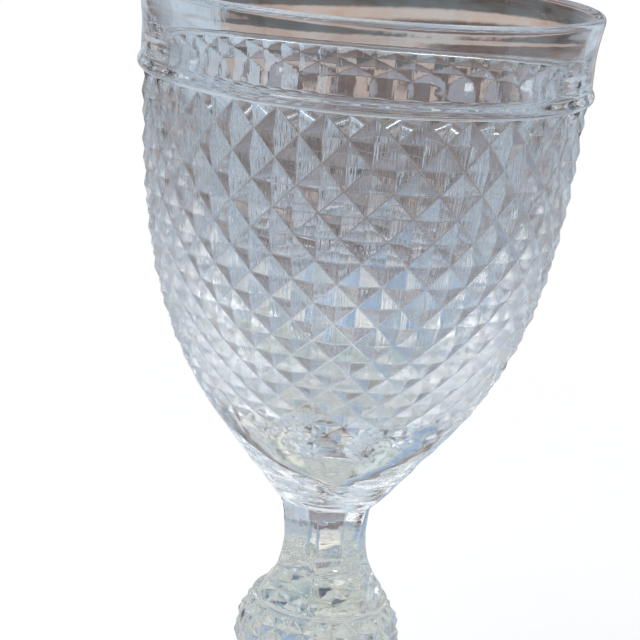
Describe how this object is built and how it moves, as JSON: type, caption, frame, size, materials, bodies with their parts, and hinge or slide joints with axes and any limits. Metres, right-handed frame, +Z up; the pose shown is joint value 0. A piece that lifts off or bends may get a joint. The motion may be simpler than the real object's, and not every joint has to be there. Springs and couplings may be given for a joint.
{
  "type": "water goblet",
  "caption": "Pressed clear glass water goblet: round bowl with a diamond-point pattern, six-sided stem and studded bell foot.",
  "frame": {"origin": "middle of the foot's underside, on the surface that the goblet stands on", "axes": "+Z up along the goblet's axis of symmetry; -Y faces the camera of the picture"},
  "size_m": [0.086, 0.086, 0.165],
  "materials": {
    "bowl_glass": "clear pressed glass, fire-polished, faint blue-grey cast",
    "stem_glass": "clear solid glass, polished faces",
    "foot_glass": "clear pressed glass, fire-polished"
  },
  "bodies": {
    "root": {"bowl": "bowl_glass", "stem": "stem_glass", "foot": "foot_glass"}
  },
  "joints": []
}
